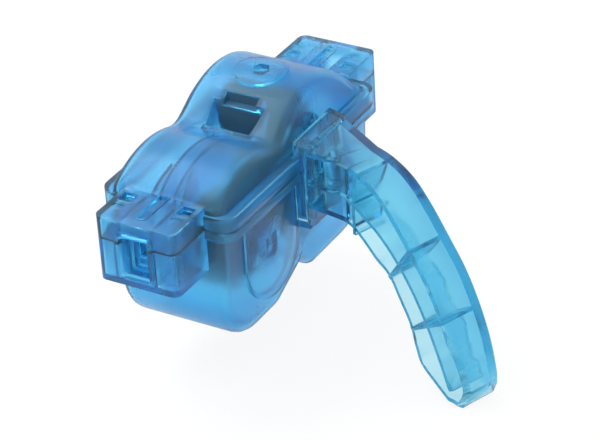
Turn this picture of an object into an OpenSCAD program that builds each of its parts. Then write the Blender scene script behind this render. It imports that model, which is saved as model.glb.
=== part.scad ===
// Bicycle chain cleaner: a tank and a lift-off cover that close round a running chain,
// three brush wheels that the chain turns, wiper plates in both ports and a slide-on handle.
// +Y runs along the chain, +X points to the handle and +Z is up.
// The origin is the middle of the chain's path through the body.

/* [Chain path] */
// Width of the slot that the chain runs through
slot_w = 8; // [7:0.5:9]
// Height of that slot
slot_h = 9.5; // [8.5:0.5:10.5]
// From the line where cover and tank meet down to the chain's centre
chain_depth = 5; // [4.6:0.1:5.4]

/* [Shells] */
// Thickness of the moulded walls
wall = 2; // [1.6:0.1:2.2]
// Half width of the walls where cover and tank meet
body_half_w = 26; // [25:0.5:27]
// Half length of the body, without its two port boxes
body_half_len = 58.5; // [57:0.5:60]
// Radius of the body's upright corners and of the tank's lower edges
body_corner_r = 4.5; // [3:0.5:5.5]
// How far the side walls lean in over the tank's depth
tank_draft = 1.6; // [0:0.2:2]
// How far the side walls lean in over the cover's height
cover_draft = 2.4; // [0:0.2:3]

/* [Tank] */
// Depth of the front lobe
front_depth = 57; // [55:0.5:58]
// Depth of the rear lobe
rear_depth = 54.5; // [53:0.5:57]
// Depth of the notch between the lobes
notch_depth = 47.2; // [46:0.2:49]
// Place of that notch along the body
notch_y = 1.2; // [-1:0.1:3]
// Radius of the big curve at the front and rear of the tank
lobe_r = 23; // [18:1:26]
// Height of the foot pad under the front lobe
foot_h = 2; // [1:0.5:3]
// Length of the foot pad
foot_len = 13; // [10:1:16]
// How far the round panel stands out of each side wall
panel_h = 1.6; // [1:0.2:2]
// Radius of that panel
panel_r = 20.5; // [19:0.5:22]

/* [Cover] */
// Radius of the low hump over the front of the body
low_hump_r = 41; // [39:0.5:43]
// Height of the low hump
low_hump_h = 18.2; // [17:0.2:19]
// From the body's front end to the low hump's crest
low_hump_inset = 25.5; // [24:0.5:27]
// Height of the high hump over the upper brush
high_hump_h = 27; // [26:0.2:28.4]
// Place of the high hump's crest
high_hump_y = 19; // [18:0.5:20]
// Height of the valley between the humps
valley_h = 14.8; // [14:0.2:16]
// Radius along the cover's long edges
deck_edge_r = 5; // [3.5:0.5:5.5]
// Radius of the round boss on the high hump
disc_r = 11; // [9:0.5:12]
// How far the boss stands above the crest
disc_h = 1.4; // [1:0.2:2]

/* [Flange] */
// How far the flange stands out of the side walls
flange_side_h = 4; // [3:0.2:5]
// How far the flange stands out of the end walls
flange_end_h = 1.1; // [0.7:0.1:1.9]
// Radius of the flange's corners
flange_corner_r = 6.5; // [5:0.5:8]
// Height of the cover's flange
flange_up = 6.5; // [5.5:0.5:7]
// Height of the tank's flange
flange_down = 4; // [3:0.5:5]

/* [Port boxes] */
// Length of each box in front of the flange
box_len = 21.5; // [20:0.5:23]
// Half width of each box
box_half_w = 18; // [17:0.5:19]
// Height of each box above the parting line
box_up = 9.6; // [9:0.2:10.4]
// Depth of each box below the parting line
box_down = 18.6; // [18:0.2:19.4]
// Half width of the port's mouth
mouth_half_w = 6.5; // [6:0.5:7]
// Height of the mouth above the parting line
mouth_up = 3.8; // [3:0.2:4.4]
// Depth of the mouth below the parting line
mouth_down = 14.5; // [14:0.5:15]
// How far the mouth's rim stands out
rim_h = 1.2; // [0.8:0.2:1.6]
// From the mouth to the wiper plate
wiper_inset = 7.5; // [6:0.5:9]

/* [Brush wheels] */
// Radius of the steel axles
axle_r = 1.5; // [1.2:0.1:1.8]
// Running clearance of the axles in their seats
axle_gap = 0.06; // [0.03:0.01:0.1]
// Radius of the plastic core
core_r = 4.5; // [4:0.5:5]
// Radius of the front brush wheel
front_brush_r = 19.5; // [18:0.5:20]
// Radius of the rear brush wheel
rear_brush_r = 20.5; // [18:0.5:21]
// Radius of the upper brush wheel
upper_brush_r = 13; // [12:0.5:13.5]
// From the outer face of a side wall to the bristle field
bristle_inset = 12; // [11:0.5:14]
// Radius of a bristle tuft
tuft_r = 0.5; // [0.4:0.1:0.7]
// Tufts round the wheel
tufts_round = 10; // [8:1:11]
// Rows of tufts across the wheel
tuft_rows = 13; // [9:2:13]

/* [Handle] */
// How far the arm turns towards the front
arm_turn = 21; // [18:1:24]
// Thickness of the arm's outer skin
skin_t = 2.4; // [2:0.2:3]
// Thickness of the arm's inner walls and ribs
web_t = 1.6; // [1.2:0.2:2]
// Thickness of the arm's side plate
plate_t = 3; // [2.4:0.2:3.6]
// How far the arm reaches out along its own plane
arm_reach = 112; // [104:1:116]
// From the arm's top down to its tip
arm_height = 90; // [80:1:94]
// Width of the arm where it leaves the bracket
arm_width = 18.4; // [16:0.4:20]
// Width of the bracket that carries the arm
bracket_width = 30.5; // [28:0.5:32]

/* [Hidden] */
$fn = 48;

shell_colour = [0.25, 0.55, 0.85, 0.6];
clear_colour = [0.35, 0.72, 0.92, 0.6];
brush_colour = [0.12, 0.12, 0.14];
core_colour = [0.2, 0.2, 0.23];
steel_colour = [0.7, 0.7, 0.72];

over = 1;             // overrun of cuts past a face
gap = 0.3;            // clearance between pieces that move apart
corner_steps = 6;     // straight pieces in a rounded corner, and twice as many in a big one
big_r = 12;           // radius from which a corner counts as big
straight_angle = 89.5;   // half angle from which a corner counts as straight
edge_steps = 4;       // straight pieces across a rounded edge
arc_steps = 18;       // straight pieces in a hump

// The chain's centre is at height zero, so all heights below are from the parting line.
module lift() {
    translate([0, 0, chain_depth]) children();
}

// Geometry of outlines

function unit(v) = v / norm(v);

// One corner of an outline: its point, or an arc of radius r that touches both sides
function corner(a, p, b, r) =
    let (u = unit(a - p), v = unit(b - p), half = acos(max(-1, min(1, u * v))) / 2)
    r <= 0 || half > straight_angle ? [p] :
    let (steps = r < big_r ? corner_steps : 2 * corner_steps,
         t = r / tan(half),
         c = p + unit(u + v) * r / sin(half),
         s = p + u * t - c,
         e = p + v * t - c,
         a0 = atan2(s[1], s[0]),
         turn = atan2(s[0] * e[1] - s[1] * e[0], s * e))
    [for (i = [0:steps]) c + r * [cos(a0 + turn * i / steps), sin(a0 + turn * i / steps)]];

// Rounds an outline whose points are [u, v, radius]
function rounded(pts) =
    let (n = len(pts), q = [for (p = pts) [p[0], p[1]]])
    [for (i = [0:n - 1]) each corner(q[(i + n - 1) % n], q[i], q[(i + 1) % n], pts[i][2])];

function cross2(a, b) = a[0] * b[1] - a[1] * b[0];

// Moves every side of a clockwise outline inwards by d, and follows with its radii
function inset(pts, d) =
    let (n = len(pts), q = [for (p = pts) [p[0], p[1]]])
    [for (i = [0:n - 1])
        let (u = unit(q[i] - q[(i + n - 1) % n]),
             v = unit(q[(i + 1) % n] - q[i]),
             nu = [u[1], -u[0]],
             nv = [v[1], -v[0]],
             m = unit(nu + nv),
             p = q[i] + m * d / (m * nu),
             outward = cross2(u, v) < 0)
        [p[0], p[1], pts[i][2] <= 0 ? 0 : max(0.3 * wall, pts[i][2] + (outward ? -d : d))]];

// Points of an arc about [cy, cz], from angle a0 to a1
function arc(cy, cz, r, a0, a1) =
    [for (i = [0:arc_steps]) [cy + r * cos(a0 + (a1 - a0) * i / arc_steps),
                              cz + r * sin(a0 + (a1 - a0) * i / arc_steps)]];

// Smooth curve through points, with n pieces between two of them
function through(p, n = 6) =
    [for (i = [0:len(p) - 2])
        let (a = p[max(i - 1, 0)], b = p[i], c = p[i + 1], d = p[min(i + 2, len(p) - 1)])
        for (k = [0:(i == len(p) - 2 ? n : n - 1)])
            let (t = k / n)
            (2 * b + (c - a) * t + (2 * a - 5 * b + 4 * c - d) * t * t
             + (3 * b - a - 3 * c + d) * t * t * t) / 2];

// Outline of a wall of thickness t that lies to the right of a path
function strip(path, t) =
    let (n = len(path),
         side = [for (i = [0:n - 1])
             let (u = unit(path[min(i + 1, n - 1)] - path[max(i - 1, 0)]))
             path[i] + t * [u[1], -u[0]]])
    concat(path, [for (i = [n - 1:-1:0]) side[i]]);

// Smooth curve between two points of an outline with given slopes, in n pieces, without its ends
function eased(a, b, slope_a, slope_b, n = 5) =
    [for (i = [1:n - 1])
        let (t = i / n, run = b[0] - a[0])
        [a[0] + run * t,
         a[1] * (1 + 2 * t) * (1 - t) * (1 - t) + b[1] * t * t * (3 - 2 * t)
         + run * (slope_a * t * (1 - t) * (1 - t) - slope_b * t * t * (1 - t))]];

// Skin over rings of equally many points; each end is closed by a fan from its ring's first point
module skin(rings) {
    n = len(rings[0]);
    last = (len(rings) - 1) * n;
    polyhedron(
        points = [for (ring = rings) each ring],
        faces = concat(
            [[0, each [for (i = [n - 1:-1:1]) i]]],
            [for (k = [0:len(rings) - 2], i = [0:n - 1], half = [0, 1])
                let (a = k * n + i, b = k * n + (i + 1) % n)
                half == 0 ? [a, b, a + n] : [b, b + n, a + n]],
            [[for (i = [0:n - 1]) last + i]]));
}

// Extrudes an outline of [y, z] points across the body, from x0 to x1
module across(pts, x0, x1) {
    translate([x0, 0, 0]) rotate([90, 0, 90]) linear_extrude(x1 - x0) polygon(pts);
}

// Extrudes an outline of [x, z] points along the body, from y0 to y1
module along(pts, y0, y1) {
    translate([0, y1, 0]) rotate([90, 0, 0]) linear_extrude(y1 - y0) polygon(pts);
}

// Extrudes an outline of [x, y] points upwards, from z0 to z1
module upright(pts, z0, z1) {
    translate([0, 0, z0]) linear_extrude(z1 - z0) polygon(pts);
}

// A box given by its low and high corners
module block(low, high) {
    translate(low) cube(high - low);
}

// Rounded rectangle of half sizes hx and hy, clockwise
function plan(hx, hy, r) = rounded([[-hx, -hy, r], [-hx, hy, r], [hx, hy, r], [hx, -hy, r]]);

// A cylinder about the X axis at [y, z], from x0 to x1
module rod(y, z, r, x0, x1) {
    translate([x0, y, z]) rotate([0, 90, 0]) cylinder(r = r, h = x1 - x0);
}

module both_sides() {
    children();
    mirror([1, 0, 0]) children();
}

flange_half_w = body_half_w + flange_side_h;
flange_half_len = body_half_len + flange_end_h;

// Brush wheels: [y, z, radius] of each

front_brush = [-24, -26.5, front_brush_r];
rear_brush = [22, -29, rear_brush_r];
upper_brush = [16, 9, upper_brush_r];

bristle_half_w = body_half_w - bristle_inset;
seat_inset = 5.2;                        // from the outer face of a side wall to the inner face of an axle seat
seat_half_w = body_half_w - seat_inset;  // from the middle to that face
axle_half_len = seat_half_w + 1.8;       // half length of an axle
seat_depth = 2.2;                        // depth of an axle's blind seat
seat_r = 4;                              // radius of the boss round a seat
disc_t = 1.4;                            // thickness of a wheel's end disc
disc_share = 0.72;                       // an end disc's radius as a share of its wheel's
disc_gap = 0.2;                          // from the bristle field to an end disc
sleeve_t = 0.9;                          // thickness of the backing slice under the bristles

// Tank

tank_wall_lean = tank_draft / front_depth;

notch_rear_y = 9;                        // where the rear lobe's flat floor starts
notch_rear_r = 5;                        // radius there
notch_front_y = -19;                     // where the front lobe's flat floor ends
notch_front_r = 8;                       // radius there

// Side view of the tank. It starts at the notch, from which the whole outline can be seen.
function tank_side(top) = [
    [notch_y, -notch_depth, 0],
    [notch_front_y, -front_depth, notch_front_r],
    [-body_half_len, -front_depth, lobe_r],
    [-body_half_len, top, 0],
    [body_half_len, top, 0],
    [body_half_len, -rear_depth, lobe_r],
    [notch_rear_y, -rear_depth, notch_rear_r]];

// Half width of the tank's wall at height z
function tank_w(z) = body_half_w + tank_wall_lean * z;

// Rings of the tank's outline moved in by d, from wall to wall, with edges rounded by r
function tank_rings(top, d, r) =
    [for (side = [-1, 1], i = [0:edge_steps])
        let (t = 90 * (side < 0 ? 1 - i / edge_steps : i / edge_steps))
        [for (p = rounded(inset(tank_side(top), d + r * (1 - cos(t)))))
            [side * (tank_w(p[1]) - d - r * (1 - sin(t))), p[0], p[1]]]];

// The tank's body, moved in by d, and open at the top if it is a hollow
module tank_body(d, top = 0) {
    intersection() {
        skin(tank_rings(top + d + body_corner_r + over, d, body_corner_r - d));
        block([-flange_half_w, -flange_half_len, -front_depth - over], [flange_half_w, flange_half_len, top]);
    }
}

// The raised panel round the front wheel, or its pocket inside
panel_top = -flange_down + wall;
function panel_outline(d) =
    let (r = panel_r - d)
    concat([[front_brush[0] - r, panel_top]],
           arc(front_brush[0], front_brush[1], r, 180, 360),
           [[front_brush[0] + r, panel_top]]);

module tank_panels() {
    both_sides() across(panel_outline(0), tank_w(-front_depth) - wall, tank_w(front_brush[1]) + panel_h);
}

module tank_pockets() {
    both_sides() across(panel_outline(wall), 0, tank_w(front_brush[1]) + panel_h - wall);
}

foot_y = -36;     // front end of the foot pad
module foot() {
    block([-tank_w(-front_depth) + 3 * wall, foot_y, -front_depth - foot_h],
          [tank_w(-front_depth) - 3 * wall, foot_y + foot_len, -front_depth + wall / 2]);
}

// Flange ring from z0 to z1 with a hollow from h0 to h1
module flange_ring(z0, z1, h0, h1) {
    difference() {
        upright(plan(flange_half_w, flange_half_len, flange_corner_r), z0, z1);
        upright(plan(flange_half_w - wall, flange_half_len - wall / 2, flange_corner_r - wall / 2), h0, h1);
        upright(plan(body_half_w - wall / 2, body_half_len - wall / 2, body_corner_r), z0 - over, z1 + over);
    }
}

box_y1 = flange_half_len + box_len;           // front face of a box
tunnel_t = 1.6;                               // thickness of the tunnel walls in a box
box_corner_r = 3.5;                           // radius of a box's upright corners
mouth_r = 1;                                  // radius of the mouth's corners

// Outline of the mouth, or of its rim, made larger by d
function mouth(d, r) =
    [for (p = plan(mouth_half_w + d, (mouth_up + mouth_down) / 2 + d, r)) p + [0, (mouth_up - mouth_down) / 2]];

// Plan of a box moved in by d, which reaches into the body's end wall
function box_plan(d) =
    rounded([[-box_half_w + d, -body_half_len + wall / 2 - d, 0], [box_half_w - d, -body_half_len + wall / 2 - d, 0],
             [box_half_w - d, -box_y1 + d, box_corner_r - d], [-box_half_w + d, -box_y1 + d, box_corner_r - d]]);

// One port box between two heights, its tunnel walls and the mouth's rim
module port_box(z0, z1, hollow_z0, hollow_z1) {
    difference() {
        union() {
            difference() {
                upright(box_plan(0), z0, z1);
                upright(box_plan(wall), hollow_z0, hollow_z1);
            }
            both_sides() block([mouth_half_w, -box_y1 + wall / 2, z0 + wall / 2],
                               [mouth_half_w + tunnel_t, -body_half_len, z1 - wall / 2]);
            intersection() {
                along(mouth(wall, mouth_r + wall), -box_y1 - rim_h, -box_y1 + wall);
                block([-box_half_w, -box_y1 - rim_h - over, z0], [box_half_w, -body_half_len, z1]);
            }
        }
        along(mouth(0, mouth_r), -box_y1 - rim_h - over, -body_half_len + over);
    }
}

// Two ribs on each tunnel wall hold the wiper plate
module wiper_ribs(z0, z1) {
    for (y = [wiper_y - gap - tunnel_t, wiper_y + wiper_t + gap])
        both_sides() block([mouth_half_w - wiper_grip, y, z0], [mouth_half_w + tunnel_t / 2, y + tunnel_t, z1]);
}

// Sill under a wiper plate
module wiper_sill() {
    block([-mouth_half_w - tunnel_t / 2, wiper_y - gap - tunnel_t, -box_down + wall / 2],
          [mouth_half_w + tunnel_t / 2, wiper_y + wiper_t + gap + tunnel_t, -mouth_down]);
}

wiper_t = 2;                                   // thickness of a wiper plate
wiper_grip = 1.2;                              // how far the ribs reach over the wiper plate's edges
wiper_y = -box_y1 + wiper_inset;               // front face of the front wiper plate

// A copy at the rear as well
module both_ends() {
    children();
    mirror([0, 1, 0]) children();
}

// Axle seat for the tank: a boss on each side wall with a blind hole and a slot to drop the axle in
module seat_boss(brush, outer, slot_top) {
    both_sides() {
        rod(brush[0], brush[1], seat_r, seat_half_w, outer);
        block([seat_half_w, brush[0] - seat_r, min(brush[1], slot_top)],
              [outer, brush[0] + seat_r, max(brush[1], slot_top)]);
    }
}

slot_share = 0.8;     // width of the drop-in slot as a share of the axle's diameter

module seat_hole(brush, slot_top) {
    both_sides() {
        rod(brush[0], brush[1], axle_r + axle_gap, seat_half_w - over, seat_half_w + seat_depth);
        block([seat_half_w - over, brush[0] - axle_r * slot_share, min(brush[1], slot_top)],
              [seat_half_w + seat_depth, brush[0] + axle_r * slot_share, max(brush[1], slot_top)]);
    }
}

seat_slot_h = 7;      // height of the drop-in slot above or below the axle

// Handle rail on the tank: a T that the handle's guides slide down on
bracket_front = -6.5;                        // front face of the handle's bracket
bracket_back = bracket_front + bracket_width;
bracket_inner = tank_w(front_brush[1]) + panel_h + gap;   // the bracket's side next to the body
bracket_outer = 33;                          // the bracket's outer face
bracket_foot = -26.5;                        // foot of the bracket
bracket_foot_r = 6;                          // radius of the foot's corners
bracket_top = 13.3;                          // top of the bracket next to the body
bracket_brow = 11.4;                         // top of the bracket at its outer edge
bracket_lip = 1.3;                           // how far its top stands out past the outer face
rail_y = (bracket_front + bracket_back) / 2;
rail_neck = 4;                               // half width of the rail's neck
rail_head = 6.5;                             // half width of the rail's head
rail_head_x = bracket_inner + 1.4;           // where the head starts
rail_top = -flange_down - 1.5;               // upper end of the rail
ledge_h = 2;                                 // height of the ledge under the bracket

module rail() {
    block([body_half_w - wall, rail_y - rail_neck, bracket_foot - gap - ledge_h],
          [rail_head_x + wall / 4, rail_y + rail_neck, rail_top]);
    block([rail_head_x, rail_y - rail_head, bracket_foot - gap - ledge_h],
          [bracket_outer - wall - gap, rail_y + rail_head, rail_top]);
    block([body_half_w - wall, rail_y - rail_head - 2 * wall, bracket_foot - gap - ledge_h],
          [bracket_outer - wall - gap, rail_y + rail_head + 2 * wall, bracket_foot - gap]);
}

// The bracket's place, cut out of both flanges
module bracket_notch(z0, z1) {
    block([body_half_w, bracket_front - gap, z0 - over], [flange_half_w + over, bracket_back + gap, z1 + over]);
}

// Snap tongues of the tank, which stand in the cover's latch windows
latch_w = 5;                                 // width of a tongue
latch_t = 1.6;                               // thickness of a tongue
latch_x = box_half_w - wall - gap - latch_w / 2;   // from the middle to a tongue
latch_inset = 6.5;                           // from the body's end to a tongue
latch_y = -body_half_len - latch_inset;      // place of the front tongues
latch_hook = 0.8;                            // how far a tongue's hook stands out
latch_window_back = 4.2;                     // from a tongue to the rear end of its window

module latch_tongues() {
    both_sides() {
        block([latch_x - latch_w / 2, latch_y - latch_t / 2, -box_down + wall / 2],
              [latch_x + latch_w / 2, latch_y + latch_t / 2, box_up - wall / 2]);
        block([latch_x - latch_w / 2, latch_y - latch_t / 2 - latch_hook, box_up - wall],
              [latch_x + latch_w / 2, latch_y, box_up - wall / 2]);
    }
}

module latch_windows() {
    both_sides() block([latch_x - latch_w / 2 - gap, latch_y - latch_t / 2 - latch_hook - gap, wall],
                       [latch_x + latch_w / 2 + gap, latch_y + latch_window_back, box_up + over]);
}

module tank() {
    color(shell_colour) lift() difference() {
        union() {
            difference() {
                union() {
                    tank_body(0);
                    tank_panels();
                    foot();
                }
                tank_body(wall, over);
                tank_pockets();
            }
            flange_ring(-flange_down, 0, -flange_down - over, -wall);
            both_ends() {
                port_box(-box_down, 0, -box_down + wall, over);
                wiper_ribs(-mouth_down - wall / 2, 0);
                wiper_sill();
                latch_tongues();
            }
            seat_boss(front_brush, tank_w(front_brush[1]) + panel_h - wall / 2, front_brush[1] + seat_slot_h);
            seat_boss(rear_brush, tank_w(rear_brush[1]) - wall / 2, rear_brush[1] + seat_slot_h);
            rail();
        }
        seat_hole(front_brush, front_brush[1] + seat_slot_h + over);
        seat_hole(rear_brush, rear_brush[1] + seat_slot_h + over);
        both_ends() block([-mouth_half_w, -flange_half_len - over, -mouth_down],
                          [mouth_half_w, -body_half_len + wall + over, over]);
        bracket_notch(-flange_down, 0);
    }
}

// Wiper plate with the chain's slot, open to the top
module wiper() {
    color(clear_colour) lift() difference() {
        block([-mouth_half_w + gap / 2, wiper_y, -mouth_down + gap / 2], [mouth_half_w - gap / 2, wiper_y + wiper_t, -gap]);
        block([-slot_w / 2, wiper_y - over, -chain_depth - slot_h / 2], [slot_w / 2, wiper_y + wiper_t + over, over]);
    }
}

module front_wiper() { wiper(); }
module rear_wiper() { mirror([0, 1, 0]) wiper(); }

// Cover

valley_y = -12;          // lowest place of the valley
valley_front = 7;        // from there to the low hump
valley_back = 14;        // from there to the high hump
valley_slope = 0.12;     // rise of the deck at its lowest place
deck_front_step = 3.5;   // rounding of the deck's front end
deck_front_h = 9.2;      // height of the deck at its front end
deck_back_len = 6.3;     // length of the low ledge at the deck's rear end
deck_back_h = 7.5;       // height of that ledge
low_hump_y = low_hump_inset - body_half_len;
low_hump_z = low_hump_h - low_hump_r;

// The high hump is the arc that falls from its crest to the ledge
high_hump_run = body_half_len - deck_back_len - high_hump_y;
high_hump_fall = high_hump_h - deck_back_h;
high_hump_r = (high_hump_run * high_hump_run + high_hump_fall * high_hump_fall) / (2 * high_hump_fall);
high_hump_z = high_hump_h - high_hump_r;

// Top of the deck moved in by d, from its front end to its rear end
function deck_top(d) =
    let (front_y = -body_half_len + d,
         back_y = body_half_len - d,
         a_front = acos((front_y + deck_front_step - low_hump_y) / (low_hump_r - d)),
         a_low = acos((valley_y - valley_front - low_hump_y) / (low_hump_r - d)),
         a_high = acos((valley_y + valley_back - high_hump_y) / (high_hump_r - d)),
         a_back = asin((deck_back_h - d - high_hump_z) / (high_hump_r - d)),
         low = arc(low_hump_y, low_hump_z, low_hump_r - d, a_front, a_low),
         high = arc(high_hump_y, high_hump_z, high_hump_r - d, a_high, a_back),
         valley = [valley_y, valley_h - d])
    concat([[front_y, deck_front_h - d]],
           low,
           eased(low[arc_steps], valley, -1 / tan(a_low), valley_slope),
           [valley],
           eased(valley, high[0], valley_slope, -1 / tan(a_high)),
           high,
           [[back_y, deck_back_h - d]]);

// The same as an outline that stands on height base
function deck_side(d, base) =
    concat([[-body_half_len + d, base]], deck_top(d), [[body_half_len - d, base]]);

cover_lean = cover_draft / high_hump_h;
function cover_w(z) = body_half_w - cover_lean * z;

// Places along the deck as [y, height, pull]; near its ends the walls are pulled in for the corners
function deck_stations(d) =
    let (top = deck_top(d),
         r = body_corner_r - d,
         end_y = body_half_len - d,
         ends = [for (i = [0:edge_steps])
             let (t = 90 * i / edge_steps)
             [end_y - r * (1 - cos(t)), r * (1 - sin(t))]])
    concat([for (e = ends) [-e[0], lookup(-e[0], top), e[1]]],
           [for (p = top) if (abs(p[0]) < end_y - r) [p[0], p[1], 0]],
           [for (i = [edge_steps:-1:0]) [ends[i][0], lookup(ends[i][0], top), ends[i][1]]]);

// Front view of the deck at one place: two leaning walls and two rounded edges
function deck_ring(p, d, base) =
    let (r = deck_edge_r - d,
         z = p[1] - r,
         right = concat([[cover_w(base) - d - p[2], p[0], base]],
             [for (i = [0:edge_steps])
                 let (t = 90 * i / edge_steps)
                 [cover_w(z) - d - p[2] - r * (1 - cos(t)), p[0], z + r * sin(t)]]))
    concat(right, [for (i = [len(right) - 1:-1:0]) [-right[i][0], right[i][1], right[i][2]]]);

module deck_body(d, base = 0) {
    skin([for (p = deck_stations(d)) deck_ring(p, d, base)]);
}

// Hopper between the humps: a funnel whose mouth is cut in the deck
hopper_y0 = -12.2;      // front edge of the mouth
hopper_y1 = -0.6;       // rear edge of the mouth
hopper_front_w = 10.8;  // half width of the mouth at its front
hopper_back_w = 12.8;   // half width of the mouth at its rear
hopper_z0 = 7;          // lower end of the funnel
hopper_z1 = 25;         // above the deck
hopper_lean = 2.4;      // how far each wall leans in towards the lower end
funnel_t = 1.6;         // thickness of the funnel's walls

module hopper(d, z0) {
    intersection() {
        across([[hopper_y0 + hopper_lean - d, z0], [hopper_y0 - hopper_lean / 3 - d, hopper_z1],
                [hopper_y1 + hopper_lean / 3 + d, hopper_z1], [hopper_y1 - hopper_lean / 2 + d, z0]],
               -body_half_w, body_half_w);
        along([[-hopper_front_w + hopper_lean - d, z0], [-hopper_back_w - d, hopper_z1],
               [hopper_back_w + d, hopper_z1], [hopper_front_w - hopper_lean + d, z0]],
              hopper_y0 - 3 * hopper_lean, hopper_y1 + 3 * hopper_lean);
        upright([[-hopper_front_w - d, hopper_y0 - d - over], [-hopper_back_w - d, hopper_y1 + d + over],
                 [hopper_back_w + d, hopper_y1 + d + over], [hopper_front_w + d, hopper_y0 - d - over]],
                z0, hopper_z1);
    }
}

ledge_half_w = 7.5;     // half width of the pouring ledge behind the hopper
ledge_len = 4.2;        // length of that ledge
ledge_z = 19.2;         // height of the ledge

module pouring_ledge(d) {
    block([-ledge_half_w - d, hopper_y1 - over, ledge_z - d], [ledge_half_w + d, hopper_y1 + ledge_len + d, hopper_z1]);
}

// Round boss with a hexagonal socket on the high hump
socket_r = 3.6;         // corner radius of the socket
socket_depth = 2.2;     // depth of the socket
disc_y = 18;            // place of the boss

module disc_boss() {
    intersection() {
        translate([0, disc_y, high_hump_h - 4 * wall]) cylinder(r = disc_r, h = 4 * wall + disc_h);
        across(deck_side(-disc_h, 0), -disc_r - over, disc_r + over);
    }
}

module socket() {
    translate([0, disc_y, high_hump_h + disc_h - socket_depth]) cylinder(r = socket_r, h = socket_depth + over, $fn = 6);
}

// Guide ribs under the cover hold the chain down between the ports and the brushes
guide_x = 2.4;          // from the middle to a guide rib
guide_t = 1.4;          // thickness of a guide rib
guide_z = 1;            // lower edge of the guide ribs
stay_x = 6;             // from the middle to a short outer rib
stay_y = -43;           // rear end of the short outer ribs
stay_flare = 2;         // how far they turn in at that end

module chain_guides() {
    intersection() {
        both_sides() {
            block([guide_x, -body_half_len + wall / 2, guide_z], [guide_x + guide_t, hopper_y0 - hopper_lean, high_hump_h]);
            block([guide_x, upper_brush[0] + upper_brush[2] + 3 * wall, guide_z],
                  [guide_x + guide_t, body_half_len - wall / 2, high_hump_h]);
            upright([[stay_x, -body_half_len + wall / 2], [stay_x - stay_flare, stay_y],
                     [stay_x - stay_flare + guide_t, stay_y], [stay_x + guide_t, -body_half_len + wall / 2]],
                    guide_z, high_hump_h);
        }
        deck_body(wall / 2);
    }
}

// Shallow oval pads and a groove with a raised rim on top of a port box
pad_depth = 0.5;        // depth of a pad
pad_r = 1.3;            // half width of a pad along the box
pad_half_w = 2.8;       // half width of a pad across the box
pad_inset = 10.3;       // from the box's front to a pad
groove_inset = 7;       // from the box's front to the middle of the groove's round end
groove_depth = 1;       // depth of the groove
groove_half_w = 2;      // half width of the groove
groove_rim = 0.5;       // how far its rim stands up
groove_rim_t = 0.8;     // thickness of the rim

module box_marks() {
    both_sides() {
        for (side = [-1, 1])
            translate([latch_x + side * (pad_half_w - pad_r), -box_y1 + pad_inset, box_up - pad_depth])
                cylinder(r = pad_r, h = pad_depth + over);
        block([latch_x - pad_half_w + pad_r, -box_y1 + pad_inset - pad_r, box_up - pad_depth],
              [latch_x + pad_half_w - pad_r, -box_y1 + pad_inset + pad_r, box_up + over]);
    }
    groove_form(0, box_up - groove_depth, box_up + groove_rim + over);
}

module groove_form(d, z0, z1) {
    block([-groove_half_w - d, -box_y1 + groove_inset, z0], [groove_half_w + d, -body_half_len + d / 2, z1]);
    translate([0, -box_y1 + groove_inset, z0]) cylinder(r = groove_half_w + d, h = z1 - z0);
}

module cover() {
    color(shell_colour) lift() difference() {
        union() {
            difference() {
                union() {
                    deck_body(0);
                    disc_boss();
                }
                deck_body(wall, -over);
            }
            flange_ring(0, flange_up, -over, flange_up - wall);
            both_ends() {
                port_box(0, box_up, -over, box_up - wall);
                groove_form(groove_rim_t, box_up - wall / 2, box_up + groove_rim);
            }
            intersection() {
                hopper(funnel_t, hopper_z0);
                deck_body(wall / 2);
            }
            intersection() {
                pouring_ledge(funnel_t);
                deck_body(wall / 2);
            }
            chain_guides();
            intersection() {
                seat_boss(upper_brush, body_half_w, upper_brush[1] - seat_slot_h);
                deck_body(wall / 2);
            }
        }
        hopper(0, hopper_z0 - over);
        pouring_ledge(0);
        socket();
        seat_hole(upper_brush, upper_brush[1] - seat_slot_h - over);
        both_ends() {
            block([-mouth_half_w, -flange_half_len - over, -over], [mouth_half_w, -body_half_len + wall + over, mouth_up]);
            latch_windows();
            box_marks();
        }
        bracket_notch(0, flange_up);
    }
}

// Brush wheels

module axle(brush) {
    color(steel_colour) lift() rod(brush[0], brush[1], axle_r, -axle_half_len, axle_half_len);
}

module core(brush) {
    color(core_colour) lift() difference() {
        union() {
            rod(brush[0], brush[1], core_r, -bristle_half_w - disc_gap, bristle_half_w + disc_gap);
            rod(brush[0], brush[1], core_r - wall / 2, -seat_half_w + gap, seat_half_w - gap);
        }
        rod(brush[0], brush[1], axle_r + axle_gap / 2, -seat_half_w, seat_half_w);
    }
}

// An end disc with notches in its rim, pushed on the core's thinner end
notches = 12;           // notches round an end disc

module end_disc(brush) {
    color(core_colour) lift() difference() {
        rod(brush[0], brush[1], brush[2] * disc_share, bristle_half_w + disc_gap + axle_gap, bristle_half_w + disc_gap + disc_t);
        rod(brush[0], brush[1], core_r - wall / 2 + axle_gap / 2, bristle_half_w, bristle_half_w + 2 * disc_t);
        for (i = [0:notches - 1])
            translate([0, brush[0], brush[1]]) rotate([360 / notches * i, 0, 0])
                block([bristle_half_w, -wall / 2, brush[2] * disc_share - wall],
                      [bristle_half_w + 2 * disc_t, wall / 2, brush[2]]);
    }
}

// One tuft: a three-sided strand that narrows to its tip, standing along Z
module tuft(length) {
    tip_share = 0.6;
    base = [for (i = [0:2]) tuft_r * [cos(120 * i), sin(120 * i)]];
    polyhedron(points = concat([for (p = base) [p[0], p[1], 0]],
                               [for (p = base) [p[0] * tip_share, p[1] * tip_share, length]]),
               faces = [[0, 1, 2], [5, 4, 3], [0, 3, 1], [1, 3, 4], [1, 4, 2], [2, 4, 5], [2, 5, 0], [0, 5, 3]]);
}

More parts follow.
